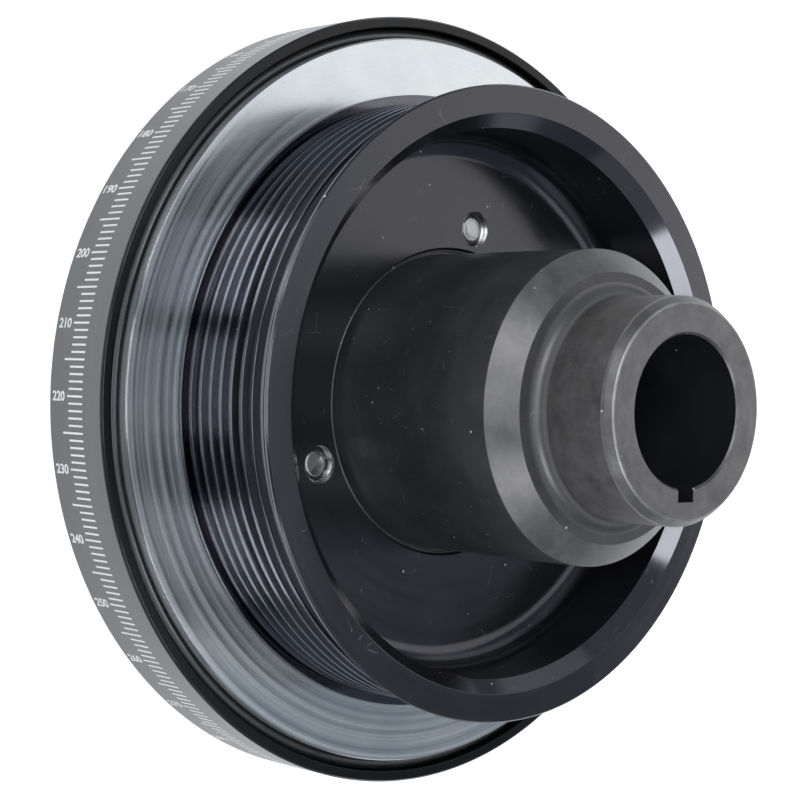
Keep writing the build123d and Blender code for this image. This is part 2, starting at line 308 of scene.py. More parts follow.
# Fine lines left by the lathe. They follow radius plus height, and drift slowly round the part.
def turnedGroup():
    tree, given, result = newGroup("turned lines", {"Pitch": 0.0003, "Drift": 0.6},
                                   {"Lines": "NodeSocketFloat", "Bands": "NodeSocketFloat"})
    place = objectPlace(tree)
    part = addNode(tree, "ShaderNodeSeparateXYZ", {0: place})
    flat = addNode(tree, "ShaderNodeCombineXYZ", {0: part.outputs[0], 1: part.outputs[1]}).outputs[0]
    radius = vectorCalc(tree, "LENGTH", flat, output="Value")
    around = vectorCalc(tree, "NORMALIZE", flat)
    sides = addNode(tree, "ShaderNodeSeparateXYZ", {0: around})
    outline = calc(tree, "MULTIPLY_ADD", part.outputs[2], heightShare, radius)
    across = calc(tree, "DIVIDE", outline, given.outputs["Pitch"])
    driftX = calc(tree, "MULTIPLY", sides.outputs[0], given.outputs["Drift"])
    driftY = calc(tree, "MULTIPLY", sides.outputs[1], given.outputs["Drift"])
    fine = addNode(tree, "ShaderNodeCombineXYZ", {0: across, 1: driftX, 2: driftY}).outputs[0]
    lines = noise(tree, fine, 1.0, 2.0, Roughness=0.6)
    broad = addNode(tree, "ShaderNodeCombineXYZ",
                    {0: calc(tree, "MULTIPLY", across, bandShare), 1: driftY, 2: driftX}).outputs[0]
    bands = noise(tree, broad, 1.0, 3.0, Roughness=0.65)
    tree.links.new(lines, result.inputs["Lines"])
    strong = calc(tree, "MULTIPLY_ADD", bands, *bandContrast, clamp=True)
    tree.links.new(strong, result.inputs["Bands"])
    return tree


# Specks of dust: a dot in a few of the cells of a Voronoi pattern, of a size that varies by cell.
def dustGroup():
    tree, given, result = newGroup(
        "dust", {"Cells": 700.0, "Share": 0.02, "Size": 0.12}, {"Mask": "NodeSocketFloat"})
    place = objectPlace(tree)
    cells = addNode(tree, "ShaderNodeTexVoronoi", {"Vector": place, "Scale": given.outputs["Cells"]})
    chance = addNode(tree, "ShaderNodeSeparateColor", {0: cells.outputs["Color"]})
    chosen = calc(tree, "LESS_THAN", chance.outputs[0], given.outputs["Share"])
    size = calc(tree, "MULTIPLY", calc(tree, "ADD", chance.outputs[1], leastSpeck), given.outputs["Size"])
    dot = calc(tree, "LESS_THAN", cells.outputs["Distance"], size)
    strength = calc(tree, "POWER", chance.outputs[2], faintSpecks)
    mask = calc(tree, "MULTIPLY", calc(tree, "MULTIPLY", dot, chosen), strength)
    tree.links.new(mask, result.inputs["Mask"])
    return tree


# Hairs and scratches: short stretches of the borders of Voronoi cells, bent by a soft noise.
def hairGroup():
    tree, given, result = newGroup(
        "hairs", {"Cells": 140.0, "Width": 0.012, "Bend": 0.004, "Share": 0.4}, {"Mask": "NodeSocketFloat"})
    place = objectPlace(tree)
    wander = noise(tree, place, 320.0, 1.0, "Color")
    centred = vectorCalc(tree, "SUBTRACT", wander, (0.5, 0.5, 0.5))
    push = vectorCalc(tree, "SCALE", centred, Scale=given.outputs["Bend"])
    bentPlace = vectorCalc(tree, "ADD", place, push)
    border = addNode(tree, "ShaderNodeTexVoronoi", {"Vector": bentPlace, "Scale": given.outputs["Cells"]},
                     feature="DISTANCE_TO_EDGE").outputs["Distance"]
    thin = calc(tree, "LESS_THAN", border, given.outputs["Width"])
    patch = noise(tree, place, 260.0, 1.0)
    here = calc(tree, "LESS_THAN", patch, given.outputs["Share"])
    tree.links.new(calc(tree, "MULTIPLY", thin, here), result.inputs["Mask"])
    return tree


# Soft uneven patches, as handling and oil leave them, from 0 to 1.
def smudgeGroup():
    tree, given, result = newGroup("smudges", {"Scale": 90.0, "Contrast": 2.0}, {"Mask": "NodeSocketFloat"})
    place = objectPlace(tree)
    cloud = noise(tree, place, given.outputs["Scale"], 5.0, Roughness=0.6, Distortion=0.4)
    centred = calc(tree, "MULTIPLY", calc(tree, "SUBTRACT", cloud, 0.5), given.outputs["Contrast"])
    tree.links.new(calc(tree, "ADD", centred, 0.5, clamp=True), result.inputs["Mask"])
    return tree


turnedLines, dustSpecks, fineHairs, softSmudges = turnedGroup(), dustGroup(), hairGroup(), smudgeGroup()


# A group node in this material, with its own values.
def useGroup(tree, group, **inputs):
    node = tree.nodes.new("ShaderNodeGroup")
    node.node_tree = group
    for label, value in inputs.items():
        node.inputs[label].default_value = value
    return node


# The first colour where factor is 0 and the second where it is 1.
def mixColour(tree, factor, first, second):
    node = addNode(tree, "ShaderNodeMix", data_type="RGBA")
    for socket, value in ((0, factor), (6, first), (7, second)):
        if isinstance(value, bpy.types.NodeSocket):
            tree.links.new(value, node.inputs[socket])
        else:
            node.inputs[socket].default_value = value
    return node.outputs[2]


# A material and its emptied node tree.
def newMaterial(name):
    material = bpy.data.materials.new(name)
    material.use_nodes = True
    material.node_tree.nodes.clear()
    return material, material.node_tree


# Leads the last shader to the material's surface.
def finishTree(tree, shader):
    output = addNode(tree, "ShaderNodeOutputMaterial")
    tree.links.new(shader, output.inputs["Surface"])


# A turned metal finish: lathe lines in the bump and gloss, smudges in the colour, dust and hairs.
# Its highlight spreads across the lines, along the outline that was turned.
def latheMaterial(name, look):
    material, tree = newMaterial(name)
    pitch, drift, lineHeight, lineShade = look["lines"]
    lines = useGroup(tree, turnedLines, Pitch=pitch, Drift=drift)
    smudgeScale, smudgeContrast = look["smudges"]
    smudge = useGroup(tree, softSmudges, Scale=smudgeScale, Contrast=smudgeContrast).outputs[0]
    cells, share, size = look["dust"]
    dust = useGroup(tree, dustSpecks, Cells=cells, Share=share, Size=size).outputs[0]
    hairCells, hairWidth, hairBend, hairShare = look["hairs"]
    hairs = useGroup(tree, fineHairs, Cells=hairCells, Width=hairWidth, Bend=hairBend,
                     Share=hairShare).outputs[0]
    shade = calc(tree, "ADD", calc(tree, "MULTIPLY", smudge, 1.0 - lineShade),
                 calc(tree, "MULTIPLY", lines.outputs["Bands"], lineShade))
    body = mixColour(tree, shade, (*look["dark"], 1), (*look["pale"], 1))
    dustColour = (*look["dustColour"], 1)
    hairy = mixColour(tree, calc(tree, "MULTIPLY", hairs, look["hairStrength"]), body, dustColour)
    colour = mixColour(tree, dust, hairy, dustColour)
    low, smudgeSpread, bandSpread = look["roughness"]
    gloss = calc(tree, "MULTIPLY_ADD", lines.outputs["Bands"], bandSpread,
                 calc(tree, "MULTIPLY_ADD", smudge, smudgeSpread, low))
    rough = calc(tree, "MULTIPLY_ADD", dust, 0.4, gloss, clamp=True)
    frosted = calc(tree, "MULTIPLY_ADD", lines.outputs["Bands"], -look.get("frost", 0.0), look["metallic"])
    metal = calc(tree, "MULTIPLY", calc(tree, "SUBTRACT", 1.0, dust), frosted)
    bump = addNode(tree, "ShaderNodeBump", {"Strength": 1.0, "Distance": lineHeight,
                                            "Height": lines.outputs["Lines"]}).outputs[0]
    place = addNode(tree, "ShaderNodeSeparateXYZ", {0: objectPlace(tree)})
    along = addNode(tree, "ShaderNodeCombineXYZ",
                    {0: calc(tree, "MULTIPLY", place.outputs[1], -1.0), 1: place.outputs[0]}).outputs[0]
    facing = addNode(tree, "ShaderNodeNewGeometry").outputs["Normal"]
    acrossLines = vectorCalc(tree, "CROSS_PRODUCT", facing, along)
    shader = addNode(tree, "ShaderNodeBsdfPrincipled", {
        "Base Color": colour, "Roughness": rough, "Metallic": metal, "Normal": bump, "Tangent": acrossLines,
        "Anisotropic": look["anisotropic"], "Specular IOR Level": look["specular"],
        "Specular Tint": (*look.get("tint", (1.0, 1.0, 1.0)), 1)})
    finishTree(tree, shader.outputs[0])
    return material


# Each look has: dark and pale body colours; metallic and specular levels; roughness as (lowest, more on
# smudges, more on bands); lathe lines as (pitch, change round the part, height, share of the shade);
# smudges as (scale, contrast); dust as (cells, share of cells, size); hairs as (cells, width, bend, share)
# and their strength; and, where it has one, frost, which takes metallic away in the bands.
noseLook = {"dark": (0.092, 0.090, 0.094), "pale": (0.178, 0.172, 0.174), "metallic": 0.80, "specular": 0.5,
            "roughness": (0.36, 0.06, 0.05), "anisotropic": 0.2, "lines": (0.00035, 1.5, 0.0000012, 0.25),
            "smudges": (230.0, 2.4), "dust": (560.0, 0.045, 0.16), "hairs": (90.0, 0.005, 0.0006, 0.36),
            "hairStrength": 0.07, "dustColour": (0.62, 0.62, 0.60)}
neckLook = {**noseLook, "dark": (0.042, 0.039, 0.040), "pale": (0.112, 0.106, 0.106), "metallic": 0.7,
            "roughness": (0.40, 0.08, 0.05), "smudges": (210.0, 2.5)}
bendLook = {**noseLook, "dark": (0.105, 0.103, 0.106), "pale": (0.145, 0.141, 0.143), "smudges": (120.0, 1.6)}
# pale bare metal for a thin ring at the nose's end edge: partly edge wear, partly a painted highlight
wornSheenLook = {**noseLook, "dark": (0.20, 0.20, 0.205), "pale": (0.44, 0.435, 0.435), "metallic": 1.0}
stepLook = {**noseLook, "dark": (0.050, 0.049, 0.051), "pale": (0.080, 0.078, 0.080), "metallic": 0.35,
            "roughness": (0.42, 0.06, 0.05)}
barrelLook = {**noseLook, "dark": (0.044, 0.045, 0.052), "pale": (0.084, 0.084, 0.090), "metallic": 0.5,
              "roughness": (0.30, 0.06, 0.04), "smudges": (60.0, 2.6), "dust": (620.0, 0.30, 0.12),
              "hairs": (80.0, 0.005, 0.0012, 0.37), "hairStrength": 0.16}
# a much darker copy of the barrel finish for the bore and keyway walls: painted shade inside the hole
shadedBoreLook = {**barrelLook, "dark": (0.014, 0.015, 0.017), "pale": (0.022, 0.023, 0.026), "metallic": 0.3,
            "dust": (620.0, 0.04, 0.12), "hairStrength": 0.0}
shellLook = {"dark": (0.003, 0.003, 0.0035), "pale": (0.006, 0.006, 0.007), "metallic": 0.0, "specular": 0.30,
             "roughness": (0.16, 0.05, 0.05), "anisotropic": 0.3, "lines": (0.0003, 0.8, 0.0000008, 0.5),
             "smudges": (60.0, 1.6), "dust": (560.0, 0.05, 0.13), "hairs": (100.0, 0.006, 0.004, 0.30),
             "hairStrength": 0.0, "dustColour": (0.5, 0.5, 0.5)}
bandLook = {**shellLook, "dark": (0.118, 0.121, 0.125), "pale": (0.138, 0.141, 0.145), "metallic": 1.0,
            "roughness": (0.30, 0.04, 0.04), "lines": (0.0004, 1.0, 0.0000012, 0.6),
            "dust": (560.0, 0.0, 0.12)}
edgeLook = {**shellLook, "specular": 1.0, "roughness": (0.10, 0.04, 0.03)}
zincLook = {**shellLook, "dark": (0.50, 0.575, 0.625), "pale": (0.80, 0.81, 0.81), "metallic": 1.0,
            "frost": 0.36, "specular": 0.5, "roughness": (0.11, 0.03, 0.03), "anisotropic": 0.75,
            "lines": (0.00022, 0.35, 0.0000001, 0.35), "smudges": (26.0, 2.4), "dust": (520.0, 0.05, 0.13),
            "dustColour": (0.8, 0.8, 0.78)}
pulleyLook = {"dark": (0.0055, 0.0055, 0.0070), "pale": (0.0105, 0.0105, 0.0125), "metallic": 0.0,
              "specular": 0.85, "tint": (0.90, 0.90, 1.0), "roughness": (0.15, 0.05, 0.04),
              "anisotropic": 0.4, "lines": (0.0003, 0.9, 0.0000010, 0.4),
              "smudges": (60.0, 1.8), "dust": (540.0, 0.06, 0.13), "hairs": (80.0, 0.005, 0.0012, 0.36),
              "hairStrength": 0.10, "dustColour": (0.55, 0.54, 0.52)}
ribLook = {**pulleyLook, "dark": (0.11, 0.11, 0.125), "pale": (0.17, 0.17, 0.19), "metallic": 1.0,
           "roughness": (0.09, 0.03, 0.03), "dust": (540.0, 0.03, 0.12)}
tappedLook = {**pulleyLook, "dark": (0.38, 0.38, 0.39), "pale": (0.54, 0.54, 0.55), "metallic": 1.0,
              "roughness": (0.22, 0.05, 0.05), "dust": (540.0, 0.0, 0.1)}
screwLook = {"dark": (0.36, 0.36, 0.37), "pale": (0.58, 0.58, 0.59), "metallic": 1.0, "specular": 0.5,
             "roughness": (0.24, 0.12, 0.05), "anisotropic": 0.0, "lines": (0.0004, 4.0, 0.000002, 0.2),
             "smudges": (420.0, 2.6), "dust": (900.0, 0.03, 0.12), "hairs": (400.0, 0.010, 0.002, 0.40),
             "hairStrength": 0.2, "dustColour": (0.6, 0.6, 0.58)}
rubberLook = {**shellLook, "dark": (0.012, 0.012, 0.012), "pale": (0.024, 0.024, 0.024), "specular": 1.0,
              "roughness": (0.20, 0.08, 0.03), "anisotropic": 0.0, "lines": (0.0006, 3.0, 0.000001, 0.3),
              "smudges": (160.0, 1.8), "dust": (560.0, 0.05, 0.12), "dustColour": (0.4, 0.4, 0.4)}
# a darker copy of the zinc for the weight's outer chamfer: painted shade that dims its highlight
shadedZincEdgeLook = {**zincLook, "dark": (0.34, 0.35, 0.36), "pale": (0.46, 0.47, 0.48), "frost": 0.0}
cutLook = {**pulleyLook, "specular": 1.0, "roughness": (0.10, 0.03, 0.02), "anisotropic": 0.2}
looks = {
    "noseSteel": noseLook, "barrelSteel": barrelLook, "shadedBoreSteel": shadedBoreLook, "neckSteel": neckLook,
    "stepSteel": stepLook, "bendSteel": bendLook, "wornSheenSteel": wornSheenLook, "blackShell": shellLook,
    "shellBand": bandLook, "shellEdge": edgeLook, "brightZinc": zincLook, "shadedZincEdge": shadedZincEdgeLook,
    "blackPulley": pulleyLook, "ribCoat": ribLook, "cutEdge": cutLook, "tappedWall": tappedLook,
    "screwSteel": screwLook, "ringRubber": rubberLook}
finish = {name: latheMaterial(name, look) for name, look in looks.items()}


# Distance of each point (x, y, z) from Z.
def fromAxis(at):
    return np.hypot(at[:, 0], at[:, 1])


# A second finish for the faces whose middles (x, y, z) the test picks out.
def finishZone(piece, name, inZone):
    mesh = piece.data
    mesh.materials.append(finish[name])
    middles = np.empty(len(mesh.polygons) * 3, np.float32)
    mesh.polygons.foreach_get("center", middles)
    index = np.empty(len(mesh.polygons), np.int32)
    mesh.polygons.foreach_get("material_index", index)
    index[inZone(middles.reshape(-1, 3))] = len(mesh.materials) - 1
    mesh.polygons.foreach_set("material_index", index)
    return piece


print("finishes made")

# Screws, as the holes for them are cut with the same sizes
pulleyScrew = {"circle": 41.0 * mm, "first": 50.0, "count": 3, "radius": 4.0 * mm, "pitch": 1.25 * mm,
               "threadDepth": 0.55 * mm, "threadLength": 14.0 * mm, "headRadius": 6.5 * mm,
               "headHeight": 8.0 * mm,
               "setback": 1.0 * mm, "tipSetback": 1.2 * mm, "tipChamfer": 0.9 * mm, "socket": 6.0 * mm,
               "socketDepth": 4.0 * mm, "recess": 7.0 * mm, "holeRadius": 4.3 * mm,
               "mouthChamfer": 0.45 * mm, "play": 0.05 * mm,
               "segments": 64, "headEdge": 0.6 * mm, "underEdge": 0.2 * mm}
shellScrew = {"circle": 55.9 * mm, "first": 20.0, "count": 6, "radius": 2.5 * mm, "headRadius": 4.6 * mm,
              "sink": 0.2 * mm, "socket": 3.0 * mm, "socketDepth": 2.1 * mm, "holeRadius": 2.8 * mm,
              "play": 0.05 * mm, "segments": 48, "headEdge": 0.1 * mm, "endChamfer": 0.3 * mm}
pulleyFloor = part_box("pulley_screws")[1].z + pulleyScrew["tipSetback"]
webThickness = hubLow.z + 4.5 * mm      # of the outer shell, clamped against the hub's flange


# Six corners of a hexagon of this width across its flats.
def hexagon(acrossFlats):
    angle = np.radians(np.arange(6) * 60 + 30)
    return np.stack([np.cos(angle), np.sin(angle)], -1) * acrossFlats / math.sqrt(3)


# Angles of copies spaced evenly from the first, in degrees.
def around(first, count):
    return [first + 360 / count * i for i in range(count)]


# A cap screw: an outline of head, shank and chamfered tip turned round Z, with a true helix on its end.
def makePulleyScrew():
    s = pulleyScrew
    seat, tip = s["setback"] + s["headHeight"], pulleyFloor - s["tipSetback"]
    threadStart = tip - s["threadLength"]
    fine = np.linspace(threadStart, tip - s["tipChamfer"], 150)
    shank = np.c_[np.full(fine.size, s["radius"]), fine]
    edge, under = s["headEdge"], s["underEdge"]
    head = [(s["headRadius"] - edge, s["setback"]), (s["headRadius"], s["setback"] + edge),
            (s["headRadius"], seat - under), (s["headRadius"] - under, seat), (s["radius"], seat)]
    flat = s["radius"] - s["tipChamfer"]
    # a rounded rim, then a shallow dimple
    end = [(flat, tip - 0.22 * mm), (flat - 0.12 * mm, tip - 0.07 * mm), (flat - 0.3 * mm, tip),
           (flat - 0.6 * mm, tip), (flat - 0.78 * mm, tip - 0.14 * mm)]
    outline = np.vstack([head, shank, end])
    screw = rodMesh("pulleyScrew", outline, s["segments"], pitch=s["pitch"], depth=s["threadDepth"],
                    threadFrom=threadStart, threadTo=tip + s["pitch"])
    socket = prism("socket", hexagon(s["socket"]), s["setback"] - beyond, s["setback"] + s["socketDepth"])
    return cutAway(screw, [socket])


# A flat-head screw: an outline of cone and shank turned round Z, with a hexagon socket.
def makeShellScrew():
    s = shellScrew
    neck = s["sink"] + s["headRadius"] - s["radius"]
    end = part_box("shell_screws")[1].z
    edge, chamfer = s["headEdge"], s["endChamfer"]
    outline = np.array([(s["headRadius"] - edge, s["sink"]), (s["headRadius"], s["sink"] + edge),
                        (s["radius"], neck), (s["radius"], end - chamfer), (s["radius"] - chamfer, end)])
    screw = rodMesh("shellScrew", outline, s["segments"])
    socket = prism("socket", hexagon(s["socket"]), -beyond, s["sink"] + s["socketDepth"])
    return cutAway(screw, [socket])


# Copies of one screw at every place of its circle, joined, and the first one removed.
def ringOf(single, size, name):
    copies = []
    for degrees in around(size["first"], size["count"]):
        copies.append(placed(addObject(name, single.data.copy()), size["circle"], degrees))
    bpy.data.objects.remove(single)
    return joined(name, copies)


dress(ringOf(makePulleyScrew(), pulleyScrew, "pulleyScrews"), "screwSteel", "screw_steel", "pulley_screws")
dress(ringOf(makeShellScrew(), shellScrew, "shellScrews"), "screwSteel", "screw_steel", "shell_screws")
print("screws made")

# Rubber rings, squeezed ovals in their gaps
ringSize = {"cord": 3.53 * mm, "squeeze": 0.06, "free": 0.02 * mm, "segments": 256, "sides": 32}


# An oval carried round Z. Its half width and half height keep the area of the round cord.
def rubberRing(node, squeezedInRadius):
    low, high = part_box(node)
    squeezed = ringSize["cord"] * (1 - ringSize["squeeze"]) / 2 - ringSize["free"]
    spread = ringSize["cord"] / 2 / (1 - ringSize["squeeze"])
    halfR, halfZ = (squeezed, spread) if squeezedInRadius else (spread, squeezed)
    turn = np.linspace(0, 2 * np.pi, ringSize["sides"], endpoint=False)
    profile = np.c_[high.x - halfR + halfR * np.cos(turn), (low.z + high.z) / 2 + halfZ * np.sin(turn)]
    ring = revolved(node + "Rubber", profile, ringSize["segments"], 180)
    return dress(ring, "ringRubber", "ring_rubber", node)


for ringNode, inRadius in (("rim_ring_rear", True), ("rim_ring_front", True), ("flange_ring", True),
                           ("outer_face_ring", False), ("inner_face_ring", False), ("back_face_ring", False)):
    rubberRing(ringNode, inRadius)
print("rubber rings made")

# Outer shell, a thin cup with the degree scale round its rim
shellSize = {"wall": 2.5 * mm, "cornerBend": 1.2 * mm, "edge": 0.4 * mm, "soft": 0.12 * mm,
             "bore": 50.55 * mm, "blackStrip": 0.35 * mm, "segments": 384}


# The cup's outline turned round Z, with six countersunk holes cut from the front.
def makeOuterShell():
    s = shellSize
    rim, inner, top = shellHigh.x, shellHigh.x - s["wall"], shellHigh.z
    edge, soft = s["edge"], s["soft"]
    outline = roundedProfile([
        (s["bore"], 0, soft), (rim - edge, 0, soft), (rim, edge, soft),
        (rim, top - edge - s["blackStrip"], 0), (rim, top - edge, soft), (rim - edge, top, soft),
        (inner, top, 2 * soft), (inner, webThickness, s["cornerBend"]),
        (s["bore"], webThickness, soft)], 6)
    shell = revolved("outerShell", outline, s["segments"])
    cutters = []
    for degrees in around(shellScrew["first"], shellScrew["count"]):
        widest = shellScrew["headRadius"] + shellScrew["sink"] + shellScrew["play"]
        hole = shellScrew["holeRadius"]
        cone = np.array([(widest + beyond, -beyond), (widest, 0), (hole, widest - hole),
                         (hole, webThickness + beyond)])
        countersink = rodMesh("countersink", cone, shellScrew["segments"])
        cutters.append(placed(countersink, shellScrew["circle"], degrees))
    return evenNormals(cutAway(shell, cutters))


outerShell = dress(makeOuterShell(), "blackShell", "black_shell", "outer_shell")
bandTop = shellHigh.z - shellSize["edge"] - shellSize["blackStrip"]
finishZone(outerShell, "shellEdge", lambda at: (
    fromAxis(at) > shellHigh.x - shellSize["edge"]) & (at[:, 2] > shellHigh.z - shellSize["edge"]))
finishZone(outerShell, "shellBand", lambda at: (fromAxis(at) > shellHigh.x - hair) & (at[:, 2] < bandTop))

# Degree scale: laser marks and numbers, a hair proud of the rim
scale = {"zeroAt": 50.08, "step": 1, "start": 7.3 * mm, "shortEnd": 12.6 * mm, "fiveEnd": 14.9 * mm,
         "tenEnd": 13.2 * mm, "width": 0.44 * mm, "numberFrom": 14.1 * mm, "digitHeight": 2.2 * mm,
         "numberLength": 4.75 * mm, "proud": 0.012 * mm, "depth": 0.05 * mm, "bold": 0.028}


# A laser-whitened mark: pale, dull, and uneven at a fine scale.
def paintMaterial(name, colour, roughness):
    material, tree = newMaterial(name)
    smudge = useGroup(tree, softSmudges, Scale=2200.0, Contrast=2.2).outputs[0]
    body = mixColour(tree, smudge, (*[c * 0.8 for c in colour], 1), (*colour, 1))
    rough = calc(tree, "MULTIPLY_ADD", smudge, 0.15, roughness)
    bump = addNode(tree, "ShaderNodeBump", {"Strength": 0.2, "Distance": 0.00001, "Height": smudge})
    shader = addNode(tree, "ShaderNodeBsdfPrincipled",
                     {"Base Color": body, "Roughness": rough, "Normal": bump.outputs[0]})
    finishTree(tree, shader.outputs[0])
    return material


finish["markWhite"] = paintMaterial("markWhite", (0.93, 0.93, 0.92), 0.5)


# Flat (along the rim, up the axis, outwards) points laid round the rim: angle = along / radius.
def bent(flat):
    radius = shellHigh.x
    angle = flat[:, 0] / radius
    out = radius + flat[:, 2]
    return np.stack([out * np.cos(angle), out * np.sin(angle), flat[:, 1]], -1)


# A thin slab for each degree, all worked out at once: eight corners at the mark's angle.
def makeMarks():
    degrees = np.arange(0, 360, scale["step"])
    ten, five = degrees % 10 == 0, degrees % 10 == 5
    end = np.where(ten, scale["tenEnd"], np.where(five, scale["fiveEnd"], scale["shortEnd"]))
    middle = np.radians(degrees + scale["zeroAt"]) * shellHigh.x
    side = np.array([-1, 1, 1, -1, -1, 1, 1, -1]) * scale["width"] / 2
    atEnd = np.array([0, 0, 1, 1, 0, 0, 1, 1])
    out = np.array([-scale["depth"]] * 4 + [scale["proud"]] * 4)
    along = middle[:, None] + side[None, :]
    up = shellHigh.z - (scale["start"] + (end[:, None] - scale["start"]) * atEnd[None, :])
    flat = np.stack([along, up, np.broadcast_to(out, along.shape)], -1).reshape(-1, 3)
    box = np.array([[0, 3, 2, 1], [4, 5, 6, 7], [0, 1, 5, 4], [1, 2, 6, 5], [2, 3, 7, 6], [3, 0, 4, 7]])
    faces = (box[None, :, :] + 8 * np.arange(len(degrees))[:, None, None]).reshape(-1, 4)
    points = bent(flat)
    return makeMesh("degreeMarks", points, outward(points, faces))


# Each tenth degree's number, written flat, then bent round the rim beside its mark.
def makeNumbers():
    points, faces, offset = [], [], 0
    for value in range(0, 360, 10):
        text = bpy.data.curves.new("number", "FONT")
        text.body = str(value)
        text.align_x, text.align_y = "RIGHT", "CENTER"
        text.size = 1.0
        text.space_character = 0.95
        text.resolution_u = 3
        text.offset = scale["bold"]
        holder = bpy.data.objects.new("number", text)
        mesh = bpy.data.meshes.new_from_object(holder)
        bpy.data.objects.remove(holder)
        flat = np.zeros(len(mesh.vertices) * 3, np.float32)
        mesh.vertices.foreach_get("co", flat)
        flat = flat.reshape(-1, 3).astype(float)
        low, high = flat.min(0), flat.max(0)
        flat -= [high[0], (low[1] + high[1]) / 2, 0]
        flat[:, 1] *= scale["digitHeight"] / (high[1] - low[1])
        flat[:, 0] *= scale["numberLength"] / 3 * len(str(value)) / (high[0] - low[0])
        # reading runs up the axis towards the nose, and tops point to falling numbers
        up = shellHigh.z - scale["numberFrom"] + flat[:, 0]
        alongRim = math.radians(value + scale["zeroAt"]) * shellHigh.x - flat[:, 1]
        points.append(bent(np.stack([alongRim, up, np.full(up.size, scale["proud"])], -1)))
        faces += [[v + offset for v in polygon.vertices] for polygon in mesh.polygons]
        offset += up.size
        bpy.data.meshes.remove(mesh)
    return makeMesh("degreeNumbers", np.vstack(points), faces)


dress(makeMarks(), "markWhite", "black_shell")
dress(makeNumbers(), "markWhite", "black_shell")
print("outer shell and degree scale made")

# Inertia weight, a heavy ring with seats for the rubber
weightSize = {"step": 70.6 * mm, "lipTop": 13.7 * mm, "bore": 63.3 * mm, "chamfer": 0.32 * mm,
              "soft": 0.10 * mm, "seatDepth": 0.67 * mm, "seatWidth": 4.2 * mm,
              "seats": (16.95 * mm, 8.5 * mm), "segments": 384}


# The ring's outline turned round Z, with a shallow seat round its edge for each rim ring.
def makeWeight():
    w = weightSize
    edge, low, high, chamfer, soft = weightHigh.x, weightLow.z, weightHigh.z, w["chamfer"], w["soft"]
    rear, front = w["seats"]
    half = w["seatWidth"] / 2
    inner = edge - w["seatDepth"]
    outline = roundedProfile([
        (w["bore"], low, soft), (edge - chamfer, low, soft), (edge, low + chamfer, soft),
        *((radius, middle + side * half, soft) for middle in (front, rear)
          for radius, side in ((edge, -1), (inner, -1), (inner, 1), (edge, 1))),
        (edge, high - chamfer, soft), (edge - chamfer, high, soft), (w["step"], high, soft),
        (w["step"], w["lipTop"], soft), (w["bore"], w["lipTop"], soft)], 3)
    return evenNormals(revolved("inertiaWeight", outline, w["segments"]))


weight = dress(makeWeight(), "brightZinc", "zinc_steel", "inertia_weight")
# the outer chamfer gets the darker zinc, painted shade that dims its highlight
chamferReach, chamferInset = 1.6 * weightSize["chamfer"], 0.6 * weightSize["chamfer"]
finishZone(weight, "shadedZincEdge", lambda at: (fromAxis(at) > weightHigh.x - chamferReach) & (
    at[:, 2] > weightHigh.z - chamferReach) & (
    at[:, 2] + fromAxis(at) < weightHigh.z + weightHigh.x - chamferInset))
print("inertia weight made")

# Pulley, with its ribs, dish and three threaded holes
pulleySize = {"ribs": 8, "ribPitch": 3.56 * mm, "mouth": 2.66 * mm, "root": 0.5 * mm, "depth": 2.95 * mm,
              "ribDrop": 2.15 * mm, "flange": 0.96 * mm, "edge": 0.35 * mm, "soft": 0.1 * mm,
              "tipBend": 0.22 * mm, "rimWidth": 9.5 * mm, "dishChamfer": 3.1 * mm,
              "dishBend": 5.5 * mm, "bore": 35.55 * mm, "boreEdge": 0.3 * mm,
              "segments": 320}


# The belt grooves, flanges and dish as one outline turned round Z, then the threaded holes cut in.
def makePulley():
    p = pulleySize
    low, high, flangeRadius = pulleyLow.z, pulleyHigh.z, pulleyHigh.x
    tip = flangeRadius - p["ribDrop"]
    root = tip - p["depth"]
    dish, edge, soft, bend = flangeRadius - p["rimWidth"], p["edge"], p["soft"], p["tipBend"]
    corners = [(p["bore"], low, soft), (flangeRadius - edge, low, soft), (flangeRadius, low + edge, soft),
               (flangeRadius, low + p["flange"], soft), (tip, low + p["flange"], soft)]
    for rib in range(p["ribs"]):
        middle = low + p["flange"] + p["ribPitch"] * (rib + 0.5)
        corners += [(tip, middle - p["mouth"] / 2, bend), (root, middle - p["root"] / 2, soft),
                    (root, middle + p["root"] / 2, soft), (tip, middle + p["mouth"] / 2, bend)]
    corners += [(tip, high - p["flange"], soft), (flangeRadius, high - p["flange"], soft),
                (flangeRadius, high - edge, soft), (flangeRadius - edge, high, soft),
                (dish + p["dishChamfer"], high, 2 * soft), (dish, high - p["dishChamfer"], 2 * soft),
                (dish, pulleyFloor, p["dishBend"]), (p["bore"] + p["boreEdge"], pulleyFloor, 0.3 * soft),
                (p["bore"], pulleyFloor - p["boreEdge"], 0.3 * soft)]
    pulley = revolved("pulley.black", roundedProfile(corners, 5), p["segments"])
    s = pulleyScrew
    cutters = []
    for degrees in around(s["first"], s["count"]):
        flare, radius = s["mouthChamfer"], s["radius"] + s["play"]
        mouth = [(radius + flare, pulleyFloor), (radius + flare + beyond, pulleyFloor + beyond)]
        fine = np.linspace(low - beyond, pulleyFloor - flare, 140)
        outline = np.vstack([np.c_[np.full(fine.size, radius + s["threadDepth"] * 0.5), fine], mouth])
        tool = rodMesh("tap", outline, 48, pitch=s["pitch"], depth=s["threadDepth"],
                       threadFrom=low - 2 * beyond, threadTo=pulleyFloor + 2 * beyond)
        cutters.append(placed(tool, s["circle"], degrees))
    return evenNormals(cutAway(pulley, cutters, 30))


